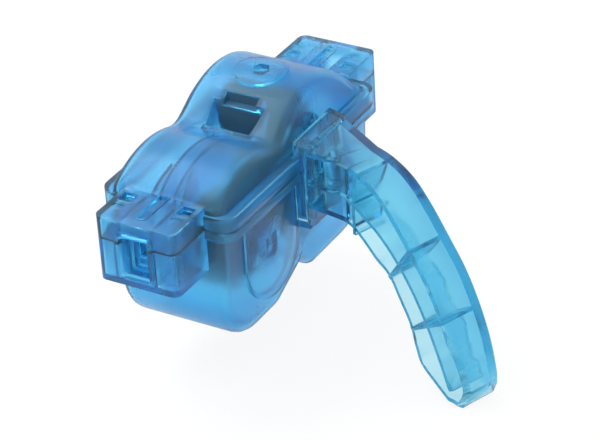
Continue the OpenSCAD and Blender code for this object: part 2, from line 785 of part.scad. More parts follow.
module bristles(brush) {
    pitch = 2 * (bristle_half_w - 2 * tuft_r) / (tuft_rows - 1);
    color(brush_colour) lift() union() {
        difference() {
            rod(brush[0], brush[1], core_r + axle_gap / 2 + sleeve_t, -bristle_half_w, bristle_half_w);
            rod(brush[0], brush[1], core_r + axle_gap / 2, -bristle_half_w - over, bristle_half_w + over);
        }
        for (row = [0:tuft_rows - 1], i = [0:tufts_round - 1])
            translate([pitch * (row - (tuft_rows - 1) / 2), brush[0], brush[1]])
                rotate([360 / tufts_round * (i + 0.5 * (row % 2)), 0, 0])
                    translate([0, 0, core_r + sleeve_t / 2])
                        tuft(brush[2] - core_r - sleeve_t / 2);
    }
}

module front_brush_core() { core(front_brush); }
module front_brush_bristles() { bristles(front_brush); }
module front_brush_axle() { axle(front_brush); }
module front_brush_left_disc() { mirror([1, 0, 0]) end_disc(front_brush); }
module front_brush_right_disc() { end_disc(front_brush); }
module rear_brush_core() { core(rear_brush); }
module rear_brush_bristles() { bristles(rear_brush); }
module rear_brush_axle() { axle(rear_brush); }
module rear_brush_left_disc() { mirror([1, 0, 0]) end_disc(rear_brush); }
module rear_brush_right_disc() { end_disc(rear_brush); }
module upper_brush_core() { core(upper_brush); }
module upper_brush_bristles() { bristles(upper_brush); }
module upper_brush_axle() { axle(upper_brush); }
module upper_brush_left_disc() { mirror([1, 0, 0]) end_disc(upper_brush); }
module upper_brush_right_disc() { end_disc(upper_brush); }

// Handle. The arm is drawn in its own upright plane, [s, z], which is turned towards the front;
// s runs outwards along that plane and w runs across the arm. The points are shares of the
// arm's reach and drop, and in plan of its reach and width.

arm_top = 10.6;         // height of the arm's flat root
arm_near = 10;          // from the plane's zero to the arm's near side at its root

skin_shares = [[0.214, 0], [0.34, 0], [0.446, 0], [0.536, 0.02], [0.625, 0.073], [0.705, 0.168], [0.777, 0.279],
               [0.857, 0.407], [0.92, 0.551], [0.969, 0.707], [0.996, 0.851], [1, 0.929], [0.978, 0.996]];
web_shares = [[0.196, 0.151], [0.34, 0.156], [0.455, 0.162], [0.554, 0.218], [0.634, 0.278], [0.714, 0.371],
              [0.786, 0.484], [0.848, 0.612], [0.902, 0.751], [0.955, 0.907]];
grip_shares = [[0.196, 0.289], [0.357, 0.291], [0.473, 0.302], [0.536, 0.347], [0.598, 0.411], [0.661, 0.462],
               [0.71, 0.557], [0.759, 0.662], [0.786, 0.773], [0.813, 0.847], [0.893, 0.924], [0.978, 0.996]];
near_shares = [[0.295, -0.234], [0.446, 0], [0.938, 0.196], [1, 0.489], [1.036, 0.87]];
far_shares = [[1.036, 1.087], [1, 1.272], [0.446, 1], [0.196, 1.315]];
near_wall_shares = [[0.37, -0.118], [0.446, 0], [0.462, 0.006]];
rib_shares = [[[0.527, 0.016], [0.504, 0.14], [0.504, 0.34]],
              [[0.777, 0.279], [0.67, 0.48]],
              [[0.929, 0.573], [0.768, 0.691]]];

function arm_side(shares) = [for (p = shares) [p[0] * arm_reach, arm_top - p[1] * arm_height]];
function arm_plan(shares, d = 0) = [for (p = shares) [p[0] * arm_reach, arm_near + p[1] * arm_width - d]];

skin_path = through(arm_side(skin_shares));
web_path = through(arm_side(web_shares));
grip_path = through(arm_side(grip_shares));

module arm_frame() {
    rotate([0, 0, -arm_turn]) children();
}

// Extrudes an outline of [s, z] points across the arm
module arm_sheet(pts) {
    translate([0, 2 * arm_width + arm_near, 0]) rotate([90, 0, 0]) linear_extrude(2 * arm_width + arm_near) polygon(pts);
}

module arm() {
    whole = concat(skin_path, [for (i = [len(grip_path) - 2:-1:0]) grip_path[i]]);
    arm_frame() intersection() {
        upright(concat(arm_plan(near_shares), arm_plan(far_shares)), arm_top - arm_height - over, arm_top + over);
        union() {
            arm_sheet(strip(skin_path, skin_t));
            arm_sheet(strip(web_path, web_t));
            arm_sheet(strip([for (i = [len(grip_path) - 1:-1:0]) grip_path[i]], web_t));
            for (r = rib_shares) arm_sheet(strip(arm_side(r), web_t));
            intersection() {
                arm_sheet(whole);
                union() {
                    upright(concat(arm_plan([for (i = [len(far_shares) - 1:-1:0]) far_shares[i]], plate_t),
                                   arm_plan(far_shares)),
                            arm_top - arm_height - over, arm_top + over);
                    upright(concat(arm_plan(near_wall_shares, over),
                                   arm_plan([for (i = [len(near_wall_shares) - 1:-1:0]) near_wall_shares[i]], -web_t)),
                            arm_top - arm_height - over, arm_top + over);
                }
            }
        }
    }
}

// Bracket: a cap that is open towards the body, with two guides round the rail

module bracket_block(d) {
    intersection() {
        along(rounded([[bracket_inner - (d > 0 ? over : 0), bracket_foot - (d > 0 ? over : 0), 0],
                       [bracket_inner - (d > 0 ? over : 0), bracket_top - d, 0],
                       [bracket_outer + bracket_lip - d, bracket_brow - d, 0],
                       [bracket_outer + bracket_lip - d, bracket_brow - d - wall / 2, 0],
                       [bracket_outer - d, bracket_brow - d - wall, 0],
                       [bracket_outer - d, bracket_foot - (d > 0 ? over : 0), 0]]),
              bracket_front + d, bracket_back - d);
        across(rounded([[bracket_front + d, bracket_foot + d, bracket_foot_r - d], [bracket_front + d, bracket_top, 0],
                        [bracket_back - d, bracket_top, 0], [bracket_back - d, bracket_foot + d, bracket_foot_r - d]]),
               bracket_inner - 2 * over, bracket_outer + bracket_lip + over);
    }
}

module bracket() {
    guide_foot = bracket_foot + wall;
    difference() {
        bracket_block(0);
        bracket_block(wall);
        block([bracket_inner - over, rail_y - rail_head - 3 * wall, bracket_foot - over],
              [bracket_outer - wall, rail_y + rail_head + 3 * wall, guide_foot + over]);
    }
    both_guides(guide_foot);
}

// A guide stands behind each side of the rail's head, and its lip reaches round it
module both_guides(foot) {
    for (side = [-1, 1]) {
        guide_y = rail_y + side * (rail_head + gap + wall / 2);
        lip_y = rail_y + side * (rail_neck + gap + (rail_head - rail_neck) / 2);
        block([bracket_inner, guide_y - wall / 2, foot], [bracket_outer - wall / 2, guide_y + wall / 2, bracket_brow - wall]);
        block([bracket_inner, lip_y - (rail_head - rail_neck) / 2, foot],
              [rail_head_x - gap, lip_y + (rail_head - rail_neck) / 2 + (side > 0 ? gap : 0), rail_top]);
    }
}

// Round boss, stiffening ribs and a small hook on the bracket's outer face, under the arm's root
root_boss_x = 43.5;     // place of the boss
root_boss_y = -1.5;     // the same, along the body
root_boss_r = 2.8;      // radius of the boss
root_boss_low = -6;     // lower end of the boss
root_rib_h = 1.6;       // how far the ribs stand out
root_rib_t = 1.2;       // thickness of a rib
root_rib_pitch = 4.2;   // from rib to rib
root_rib_low = -15;     // lower end of the ribs
hook_len = 5;           // how far the hook stands out
hook_h = 1.8;           // height of the hook
bead_r = 1.3;           // radius of the bead along the bracket's brow
bead_inset = 2;         // from the bracket's ends to the bead's

module root_forms() {
    translate([root_boss_x, root_boss_y, root_boss_low])
        cylinder(r = root_boss_r, h = arm_top - skin_t / 2 - root_boss_low);
    for (i = [0:2])
        block([bracket_outer - wall / 2, bracket_front + wall + root_rib_pitch * i, root_rib_low],
              [bracket_outer + root_rib_h, bracket_front + wall + root_rib_t + root_rib_pitch * i, arm_top - skin_t / 2]);
    block([bracket_outer - wall / 2, bracket_front + wall, root_rib_low - hook_h],
          [bracket_outer + hook_len, bracket_front + wall + 2 * root_rib_pitch, root_rib_low]);
    translate([bracket_outer + bracket_lip - bead_r / 2, bracket_back - bead_inset, bracket_brow - bead_r / 3])
        rotate([90, 0, 0]) cylinder(r = bead_r, h = bracket_width - 2 * bead_inset);
}

module handle() {
    color(clear_colour) lift() union() {
        bracket();
        root_forms();
        difference() {
            arm();
            block([0, bracket_front - 3 * wall, arm_top - arm_height - over],
                  [bracket_outer - wall / 2, bracket_back + 3 * wall, bracket_top + wall]);
        }
    }
}

cover();
tank();
front_wiper();
rear_wiper();
handle();
front_brush_core();
front_brush_bristles();
front_brush_axle();
front_brush_left_disc();
front_brush_right_disc();
rear_brush_core();
rear_brush_bristles();
rear_brush_axle();
rear_brush_left_disc();
rear_brush_right_disc();
upper_brush_core();
upper_brush_bristles();
upper_brush_axle();
upper_brush_left_disc();
upper_brush_right_disc();
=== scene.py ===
import math

import bmesh
import bpy
from mathutils import Matrix, Vector


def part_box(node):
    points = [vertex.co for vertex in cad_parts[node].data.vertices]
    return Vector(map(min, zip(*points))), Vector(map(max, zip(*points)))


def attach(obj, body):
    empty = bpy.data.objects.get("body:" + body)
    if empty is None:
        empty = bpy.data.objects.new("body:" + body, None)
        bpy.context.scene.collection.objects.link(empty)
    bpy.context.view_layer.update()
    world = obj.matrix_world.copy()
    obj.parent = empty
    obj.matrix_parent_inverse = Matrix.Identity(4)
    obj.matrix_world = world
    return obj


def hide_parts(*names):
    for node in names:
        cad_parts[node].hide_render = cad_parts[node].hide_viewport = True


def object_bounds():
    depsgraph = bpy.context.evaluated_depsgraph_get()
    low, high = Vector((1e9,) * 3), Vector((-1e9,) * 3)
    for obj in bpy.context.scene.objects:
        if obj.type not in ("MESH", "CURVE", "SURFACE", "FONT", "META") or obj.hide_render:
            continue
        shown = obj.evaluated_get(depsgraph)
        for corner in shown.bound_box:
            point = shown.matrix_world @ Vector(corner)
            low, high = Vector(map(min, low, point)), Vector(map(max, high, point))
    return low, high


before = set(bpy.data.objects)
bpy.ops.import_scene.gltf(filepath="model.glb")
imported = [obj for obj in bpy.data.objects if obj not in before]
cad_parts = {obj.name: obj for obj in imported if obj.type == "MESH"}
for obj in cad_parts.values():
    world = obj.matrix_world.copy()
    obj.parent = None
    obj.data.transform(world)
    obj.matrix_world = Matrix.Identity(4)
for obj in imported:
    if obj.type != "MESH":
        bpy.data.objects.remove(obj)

bl_info = {
    "name": "Chain cleaner",
    "version": (1, 0, 0),
    "blender": (4, 5, 0),
    "location": "View3D > Sidebar > Chain cleaner",
    "description": "Dresses the packed chain cleaner: frosted shells, clear handle, brush wheels and studio",
    "category": "Object",
}

CAD_LOW, CAD_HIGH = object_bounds()
MM = 0.001

# The three brush wheels, by the name that their nodes start with
WHEELS = ("front_brush", "rear_brush", "upper_brush")

# How a copy of a CAD node is cleaned: corners closer than the gap merge, flatter edges than the angle go
MERGE_GAP = 0.004 * MM
FLAT_ANGLE = math.radians(1)

# Edges sharper than the first angle are rounded, and those flatter than the second are shaded smooth
ROUNDED_ANGLE = math.radians(40)
SMOOTH_ANGLE = math.radians(32)
EDGE_SEGMENTS = 2

# Sockets of a colour Mix node
MIX_FACTOR, MIX_A, MIX_B, MIX_RESULT = 0, 6, 7, 2

WHITE = (1, 1, 1, 1)


# Settings

class StudioSettings(bpy.types.PropertyGroup):
    azimuth: bpy.props.FloatProperty(
        name="Azimuth", description="Where the camera stands round the part", default=math.radians(31.295),
        subtype="ANGLE")
    elevation: bpy.props.FloatProperty(
        name="Elevation", description="How steeply the camera looks down", default=math.radians(31.6),
        subtype="ANGLE")
    roll: bpy.props.FloatProperty(
        name="Roll", description="How far the camera is turned about its view", default=math.radians(-3.417),
        subtype="ANGLE")
    distance: bpy.props.FloatProperty(
        name="Distance", description="From the camera to the part", default=1.026, unit="LENGTH")
    aside: bpy.props.FloatProperty(
        name="Aside", description="Camera offset to the right", default=0.0229, unit="LENGTH")
    above: bpy.props.FloatProperty(
        name="Above", description="Camera offset upwards in its view", default=-0.02836, unit="LENGTH")
    target_z: bpy.props.FloatProperty(
        name="Target height", description="Height of the line where cover and tank meet", default=0.005,
        unit="LENGTH")
    lens: bpy.props.FloatProperty(name="Lens", description="Focal length", default=153.2, unit="CAMERA")
    world_level: bpy.props.FloatProperty(
        name="World level", description="Brightness of the room on the part", default=1.0, min=0)
    key_power: bpy.props.FloatProperty(
        name="Key power", description="Power of the large lamp overhead", default=6.0, unit="POWER")
    fill_power: bpy.props.FloatProperty(
        name="Fill power", description="Power of the lamp beside the camera", default=1.0, unit="POWER")
    floor_size: bpy.props.FloatProperty(
        name="Floor size", description="Side of the square floor", default=6.0, unit="LENGTH")
    floor_white: bpy.props.FloatProperty(
        name="Floor white", description="How far the floor fades to white for the camera", default=0.86,
        min=0, max=1)


class ShellSettings(bpy.types.PropertyGroup):
    light_blue: bpy.props.FloatVectorProperty(
        name="Light blue", description="Shell between the slow flow marks", default=(0.52, 0.89, 0.99),
        subtype="COLOR")
    deep_blue: bpy.props.FloatVectorProperty(
        name="Deep blue", description="Shell in the slow flow marks", default=(0.28, 0.75, 0.98),
        subtype="COLOR")
    # Painted shade: this colour is mixed into the shells on their rounded edges and where a wall is seen edge
    # on
    edge_shade_blue: bpy.props.FloatVectorProperty(
        name="Edge blue", description="Shell along its edges and where a wall is seen edge on",
        default=(0.02, 0.36, 0.92), subtype="COLOR")
    shell_depth: bpy.props.FloatVectorProperty(
        name="Shell depth", description="Colour that light keeps on its way through the shells",
        default=(0.02, 0.79, 0.985), subtype="COLOR")
    shell_density: bpy.props.FloatProperty(
        name="Shell density", description="How much a metre of the shells' plastic takes from the light",
        default=130.0, min=0)
    clear_blue: bpy.props.FloatVectorProperty(
        name="Clear blue", description="Handle between the slow flow marks", default=(0.76, 0.95, 0.99),
        subtype="COLOR")
    clear_deep: bpy.props.FloatVectorProperty(
        name="Deep clear blue", description="Handle in the slow flow marks", default=(0.60, 0.90, 0.98),
        subtype="COLOR")
    # Painted shade: this colour is mixed into the handle on its rounded edges and where a wall is seen edge
    # on
    clear_edge_shade: bpy.props.FloatVectorProperty(
        name="Clear edge", description="Handle along its edges and where a wall is seen edge on",
        default=(0.06, 0.42, 0.80), subtype="COLOR")
    clear_depth: bpy.props.FloatVectorProperty(
        name="Clear depth", description="Colour that light keeps on its way through the handle",
        default=(0.05, 0.78, 0.93), subtype="COLOR")
    clear_density: bpy.props.FloatProperty(
        name="Clear density", description="How much a metre of the handle's plastic takes from the light",
        default=150.0, min=0)
    edge: bpy.props.FloatProperty(
        name="Edge", description="Radius of the moulded edges", default=0.4 * MM, unit="LENGTH")
    transmission: bpy.props.FloatProperty(
        name="Transmission", description="Share of light that passes through the shells", default=0.94,
        min=0, max=1)
    clear_transmission: bpy.props.FloatProperty(
        name="Clear transmission", description="Share of light that passes through the handle", default=0.97,
        min=0, max=1)


class BrushSettings(bpy.types.PropertyGroup):
    rows: bpy.props.IntProperty(name="Rows", description="Rows of tufts across a wheel", default=15, min=2)
    tufts: bpy.props.IntProperty(name="Tufts", description="Tufts round a wheel", default=14, min=1)
    filaments: bpy.props.IntProperty(name="Filaments", description="Filaments in a tuft", default=5, min=1)
    thickness: bpy.props.FloatProperty(
        name="Thickness", description="Radius of a filament at its root", default=0.28 * MM, unit="LENGTH")
    taper: bpy.props.FloatProperty(
        name="Taper", description="A filament's tip as a share of its root", default=0.45, min=0.05, max=1)
    splay: bpy.props.FloatProperty(
        name="Splay", description="How far a tuft's tips spread", default=1.1 * MM, unit="LENGTH")
    root_gap: bpy.props.FloatProperty(
        name="Root gap", description="From a core's surface to the roots", default=0.4 * MM, unit="LENGTH")
    nylon_low: bpy.props.FloatVectorProperty(
        name="Nylon low", description="Darker tone of the bristles", default=(0.02, 0.02, 0.10),
        subtype="COLOR")
    nylon_high: bpy.props.FloatVectorProperty(
        name="Nylon high", description="Lighter tone of the bristles", default=(0.05, 0.04, 0.17),
        subtype="COLOR")
    navy_low: bpy.props.FloatVectorProperty(
        name="Navy low", description="Darker tone of cores and discs", default=(0.015, 0.03, 0.16),
        subtype="COLOR")
    navy_high: bpy.props.FloatVectorProperty(
        name="Navy high", description="Lighter tone of cores and discs", default=(0.03, 0.05, 0.22),
        subtype="COLOR")


# Mesh helpers

def deselect():
    if bpy.context.object and bpy.context.object.mode != "OBJECT":
        bpy.ops.object.mode_set(mode="OBJECT")
    bpy.ops.object.select_all(action="DESELECT")


def activate(obj):
    deselect()
    obj.select_set(True)
    bpy.context.view_layer.objects.active = obj


def link_object(name, data):
    obj = bpy.data.objects.new(name, data)
    bpy.context.scene.collection.objects.link(obj)
    return obj


def apply_modifiers(obj):
    activate(obj)
    for modifier in list(obj.modifiers):
        bpy.ops.object.modifier_apply(modifier=modifier.name)


def smooth(obj):
    activate(obj)
    bpy.ops.object.shade_smooth_by_angle(angle=SMOOTH_ANGLE)


def mark_edges(mesh):
    """Turns the slot that the bevel gave its own faces into a face attribute, the mask where the material
    paints shade on the rounded edges.
    """
    bands = [0] * len(mesh.polygons)
    mesh.polygons.foreach_get("material_index", bands)
    mask = mesh.attributes.new("painted_edge_shade", "FLOAT", "FACE")
    mask.data.foreach_set("value", [float(band) for band in bands])
    mesh.polygons.foreach_set("material_index", [0] * len(bands))


def moulded_copy(node, name, edge):
    """A copy of a CAD node with its triangles joined into faces and its edges rounded."""
    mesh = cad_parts[node].data.copy()
    mesh.name = name
    obj = link_object(name, mesh)
    activate(obj)
    bpy.ops.object.mode_set(mode="EDIT")
    bpy.ops.mesh.select_all(action="SELECT")
    bpy.ops.mesh.remove_doubles(threshold=MERGE_GAP)
    bpy.ops.mesh.dissolve_limited(angle_limit=FLAT_ANGLE)
    bpy.ops.object.mode_set(mode="OBJECT")
    bevel = obj.modifiers.new("edges", "BEVEL")
    bevel.limit_method = "ANGLE"
    bevel.angle_limit = ROUNDED_ANGLE
    bevel.width = edge
    bevel.segments = EDGE_SEGMENTS
    bevel.use_clamp_overlap = True
    # The second slot stays empty: it only tells the rounded faces, which get painted shade, from the others
    bevel.material = 1
    mesh.materials.clear()
    mesh.materials.append(None)
    mesh.materials.append(None)
    apply_modifiers(obj)
    mark_edges(obj.data)
    smooth(obj)
    return obj


def dress(obj, material):
    obj.data.materials.clear()
    obj.data.materials.append(material)


# Node helpers

def new_group(name, inputs, outputs):
    """An empty shader node group with its sockets: inputs are (name, type, default)."""
    group = bpy.data.node_groups.new(name, "ShaderNodeTree")
    for label, kind, default in inputs:
        socket = group.interface.new_socket(name=label, in_out="INPUT", socket_type=kind)
        socket.default_value = default
    for label, kind in outputs:
        group.interface.new_socket(name=label, in_out="OUTPUT", socket_type=kind)
    return group


def add(tree, kind, inputs=None, **properties):
    """A node with its properties and unlinked inputs set."""
    node = tree.nodes.new(kind)
    for key, setting in properties.items():
        setattr(node, key, setting)
    for socket, setting in (inputs or {}).items():
        node.inputs[socket].default_value = setting
    return node


def set_inputs(node, inputs):
    for socket, setting in inputs.items():
        node.inputs[socket].default_value = setting


def frosting_group():
    """Fine frosting of a moulded surface: a height for bump and a roughness."""
    group = new_group("frosting",
                      [("Grain size", "NodeSocketFloat", 900.0), ("Flow size", "NodeSocketFloat", 40.0),
                       ("Rough low", "NodeSocketFloat", 0.2), ("Rough high", "NodeSocketFloat", 0.35)],
                      [("Height", "NodeSocketFloat"), ("Roughness", "NodeSocketFloat")])
    inlet = add(group, "NodeGroupInput")
    outlet = add(group, "NodeGroupOutput")
    place = add(group, "ShaderNodeTexCoord")
    grain = add(group, "ShaderNodeTexNoise", {"Detail": 1.0})
    flow = add(group, "ShaderNodeTexNoise", {"Detail": 0.0})
    rough = add(group, "ShaderNodeMapRange")
    link = group.links.new
    link(place.outputs["Object"], grain.inputs["Vector"])
    link(place.outputs["Object"], flow.inputs["Vector"])
    link(inlet.outputs["Grain size"], grain.inputs["Scale"])
    link(inlet.outputs["Flow size"], flow.inputs["Scale"])
    link(flow.outputs["Fac"], rough.inputs["Value"])
    link(inlet.outputs["Rough low"], rough.inputs["To Min"])
    link(inlet.outputs["Rough high"], rough.inputs["To Max"])
    link(grain.outputs["Fac"], outlet.inputs["Height"])
    link(rough.outputs["Result"], outlet.inputs["Roughness"])
    return group


def tint_group():
    """Mixes two colours by slow flow marks in the material."""
    group = new_group("flow_tint", [("Thin", "NodeSocketColor", (0.2, 0.5, 0.9, 1)),
                                    ("Thick", "NodeSocketColor", (0.1, 0.3, 0.7, 1)),
                                    ("Size", "NodeSocketFloat", 25.0), ("Amount", "NodeSocketFloat", 0.5)],
                      [("Color", "NodeSocketColor")])
    inlet = add(group, "NodeGroupInput")
    outlet = add(group, "NodeGroupOutput")
    place = add(group, "ShaderNodeTexCoord")
    flow = add(group, "ShaderNodeTexNoise", {"Detail": 2.0, "Distortion": 0.6})
    scale = add(group, "ShaderNodeMath", operation="MULTIPLY")
    mix = add(group, "ShaderNodeMix", data_type="RGBA")
    link = group.links.new
    link(place.outputs["Object"], flow.inputs["Vector"])
    link(inlet.outputs["Size"], flow.inputs["Scale"])
    link(flow.outputs["Fac"], scale.inputs[0])
    link(inlet.outputs["Amount"], scale.inputs[1])
    link(scale.outputs["Value"], mix.inputs[MIX_FACTOR])
    link(inlet.outputs["Thin"], mix.inputs[MIX_A])
    link(inlet.outputs["Thick"], mix.inputs[MIX_B])
    link(mix.outputs[MIX_RESULT], outlet.inputs["Color"])
    return group


GROUP_MAKERS = {"frosting": frosting_group, "flow_tint": tint_group}
GROUPS = {}


def shared_group(tree, name, inputs):
    """Places a shared group in a material with its own values; the group is built at its first use."""
    if name not in GROUPS:
        GROUPS[name] = GROUP_MAKERS[name]()
    return add(tree, "ShaderNodeGroup", inputs, node_tree=GROUPS[name])


def new_material(name):
    material = bpy.data.materials.new(name)
    material.use_nodes = True
    return material, material.node_tree, material.node_tree.nodes["Principled BSDF"]


def finished_surface(name, rough, low, high, size, amount, grain=900.0):
    """A material with frosted roughness, and its flow tint for the caller to link."""
    material, tree, shader = new_material(name)
    frost = shared_group(tree, "frosting",
                         {"Grain size": grain, "Rough low": rough[0], "Rough high": rough[1]})
    tint = shared_group(tree, "flow_tint",
                        {"Thin": (*low, 1), "Thick": (*high, 1), "Size": size, "Amount": amount})
    tree.links.new(frost.outputs["Roughness"], shader.inputs["Roughness"])
    return material, tree, shader, frost, tint


def translucent_plastic(name, light, deep, edge, depth, density, rough, transmission, size):
    """See-through plastic with slow flow marks and painted shade along its edges and where a wall is seen
    edge on; its volume takes more light where it is thick.
    """
    material, tree, shader, frost, tint = finished_surface(name, rough, light, deep, size, 0.7)
    # Painted shade: the colour is pulled towards the edge colour on the rounded edges and where the surface
    # is seen edge on
    facing = add(tree, "ShaderNodeLayerWeight", {"Blend": 0.25})
    band = add(tree, "ShaderNodeAttribute", attribute_name="painted_edge_shade")
    soften = add(tree, "ShaderNodeMath", {1: 0.6}, operation="MULTIPLY")
    painted_shade_share = add(tree, "ShaderNodeMath", operation="MAXIMUM")
    edge_shade_mix = add(tree, "ShaderNodeMix", {MIX_B: (*edge, 1)}, data_type="RGBA")
    body = add(tree, "ShaderNodeVolumeAbsorption", {"Color": (*depth, 1), "Density": density})
    link = tree.links.new
    link(band.outputs["Fac"], soften.inputs[0])
    link(soften.outputs["Value"], painted_shade_share.inputs[0])
    link(facing.outputs["Facing"], painted_shade_share.inputs[1])
    link(painted_shade_share.outputs["Value"], edge_shade_mix.inputs[MIX_FACTOR])
    link(tint.outputs["Color"], edge_shade_mix.inputs[MIX_A])
    link(edge_shade_mix.outputs[MIX_RESULT], shader.inputs["Base Color"])
    link(body.outputs["Volume"], tree.nodes["Material Output"].inputs["Volume"])
    set_inputs(shader, {"Transmission Weight": transmission, "IOR": 1.3, "Specular Tint": (0.5, 0.8, 1.0, 1)})
    return material


def dull_plastic(name, low, high):
    """Opaque moulded plastic with a fine grain."""
    material, tree, shader, frost, tint = finished_surface(name, (0.4, 0.6), low, high, 120.0, 1.0)
    relief = add(tree, "ShaderNodeBump", {"Strength": 0.2, "Distance": 0.1 * MM})
    link = tree.links.new
    link(frost.outputs["Height"], relief.inputs["Height"])
    link(relief.outputs["Normal"], shader.inputs["Normal"])
    link(tint.outputs["Color"], shader.inputs["Base Color"])
    return material


def drawn_steel(name):
    """Steel of the axle pins, with fine marks."""
    material, tree, shader, frost, tint = finished_surface(
        name, (0.25, 0.4), (0.62, 0.62, 0.64), (0.48, 0.48, 0.5), 300.0, 0.5, grain=1500.0)
    tree.links.new(tint.outputs["Color"], shader.inputs["Base Color"])
    set_inputs(shader, {"Metallic": 1.0})
    return material


# Pieces

def moulded_piece(node, name, edge, material, body):
    """Puts a finished copy of a CAD node in its place."""
    piece = moulded_copy(node, name, edge)
    dress(piece, material)
    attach(piece, body)
    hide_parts(node)


class CHAINCLEANER_OT_shells(bpy.types.Operator):
    """Cover, tank and wiper plates in frosted blue plastic"""
    bl_idname = "chaincleaner.shells"
    bl_label = "Shells"

    def execute(self, context):
        look = context.scene.chain_cleaner_shell
        # The edge colour is painted shade on the rounded edges and where a wall is seen edge on
        blue = translucent_plastic("frosted_blue", look.light_blue, look.deep_blue, look.edge_shade_blue,
                                   look.shell_depth, look.shell_density, (0.24, 0.33),
                                   look.transmission, 25.0)
        moulded_piece("cover", "cover_shell", look.edge, blue, "cover_body")
        moulded_piece("tank", "tank_shell", look.edge, blue, "tank_body")
        for node in ("front_wiper", "rear_wiper"):
            moulded_piece(node, node + "_plate", look.edge / 2, blue, "tank_body")
        return {"FINISHED"}


class CHAINCLEANER_OT_handle(bpy.types.Operator):
    """Clear blue handle with its ribs"""
    bl_idname = "chaincleaner.handle"
    bl_label = "Handle"

    def execute(self, context):
        look = context.scene.chain_cleaner_shell
        # The edge colour is painted shade on the rounded edges and where a wall is seen edge on
        clear = translucent_plastic("clear_blue", look.clear_blue, look.clear_deep, look.clear_edge_shade,
                                    look.clear_depth, look.clear_density, (0.16, 0.22),
                                    look.clear_transmission, 15.0)
        moulded_piece("handle", "handle_moulding", look.edge, clear, "handle_body")
        return {"FINISHED"}


def select_height(obj, height, reach):
    """Selects an edited mesh's corners that lie at a height."""
    form = bmesh.from_edit_mesh(obj.data)
    for corner in form.verts:
        corner.select = abs(corner.co.z - height) < reach
    form.select_flush_mode()
    bmesh.update_edit_mesh(obj.data)


def joined_copies(name, mesh, places):
    """One object out of copies of a mesh, each put in its place before they are joined."""
    copies = []
    for place in places:
        copied = mesh.copy()
        copied.transform(place)
        copies.append(link_object(name, copied))
    activate(copies[0])
    for copied in copies:
        copied.select_set(True)
    bpy.ops.object.join()
    return copies[0]


def tuft_model(length, look):
    """A tuft that stands on the origin along Z: three-sided tapers that bend outwards."""
    deselect()
    bpy.ops.mesh.primitive_cone_add(vertices=3, radius1=look.thickness, radius2=look.thickness * look.taper,
                                    depth=length, location=(0, 0, length / 2))
    filament = bpy.context.object
    bpy.ops.object.transform_apply(location=True)
    bpy.ops.object.mode_set(mode="EDIT")
    bpy.ops.mesh.select_mode(type="VERT")
    bpy.ops.mesh.select_all(action="SELECT")
    bpy.ops.mesh.bisect(plane_co=(0, 0, length / 2), plane_no=(0, 0, 1))
    root = look.thickness * 1.6
    for share in (0, 0.5, 1):
        select_height(filament, length * share, length / 10)
        bpy.ops.transform.translate(value=(root + (look.splay - root) * share ** 1.6, 0, 0))
    bpy.ops.object.mode_set(mode="OBJECT")
    step = 2 * math.pi / look.filaments
    turns = [Matrix.Rotation(step * strand, 4, "Z") for strand in range(look.filaments)]
    tuft = joined_copies("tuft", filament.data, turns)
    bpy.data.objects.remove(filament)
    return tuft


def tuft_places(centre, root_r, half_width, look):
    """Where each tuft of a wheel stands, every other row set between the tufts of the last."""
    places = []
    along = Vector((1, 0, 0))
    for row in range(look.rows):
        across = half_width * (2 * row / (look.rows - 1) - 1)
        for tuft in range(look.tufts):
            turn = 2 * math.pi * (tuft + 0.5 * (row % 2)) / look.tufts
            out = Vector((0, -math.sin(turn), math.cos(turn)))
            stand = Matrix((along, out.cross(along), out)).transposed().to_4x4()
            # No two neighbours are turned alike, and their heights differ by up to a twenty-fifth
            twist = Matrix.Rotation(2 * math.pi * (0.618 * tuft + 0.37 * row), 4, "Z")
            height = Matrix.Scale(0.98 + 0.02 * math.cos(3 * turn + 2 * row), 4, (0, 0, 1))
            root = Matrix.Translation(centre + along * across + out * root_r)
            places.append(root @ stand @ twist @ height)
    return places


class CHAINCLEANER_OT_brushes(bpy.types.Operator):
    """Bristles, cores, discs and axles of the brush wheels"""
    bl_idname = "chaincleaner.brushes"
    bl_label = "Brush wheels"

    def execute(self, context):
        look = context.scene.chain_cleaner_brush
        nylon = dull_plastic("dark_nylon", look.nylon_low, look.nylon_high)
        navy = dull_plastic("navy_plastic", look.navy_low, look.navy_high)
        steel = drawn_steel("axle_steel")
        for wheel in WHEELS:
            low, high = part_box(wheel + "_bristles")
            core_low, core_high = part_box(wheel + "_core")
            centre = Vector((0, (low.y + high.y) / 2, (low.z + high.z) / 2))
            tip_r = (high.y - low.y) / 2
            root_r = (core_high.y - core_low.y) / 2 + look.root_gap
            half_width = (high.x - low.x) / 2 - look.splay
            tuft = tuft_model(tip_r - root_r, look)
            places = tuft_places(centre, root_r, half_width, look)
            piece = joined_copies(wheel + "_filaments", tuft.data, places)
            bpy.data.objects.remove(tuft)
            dress(piece, nylon)
            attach(piece, wheel)
            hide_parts(wheel + "_bristles")
            for part in ("core", "left_disc", "right_disc"):
                dress(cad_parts[wheel + "_" + part], navy)
            dress(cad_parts[wheel + "_axle"], steel)
        return {"FINISHED"}


# Studio

def area_lamp(name, place, target, size, power):
    data = bpy.data.lights.new(name, "AREA")
    data.shape = "RECTANGLE"
    data.size, data.size_y = size
    data.energy = power
    lamp = link_object(name, data)
    lamp.location = place
    lamp.rotation_euler = (Vector(place) - Vector(target)).to_track_quat("Z", "Y").to_euler()


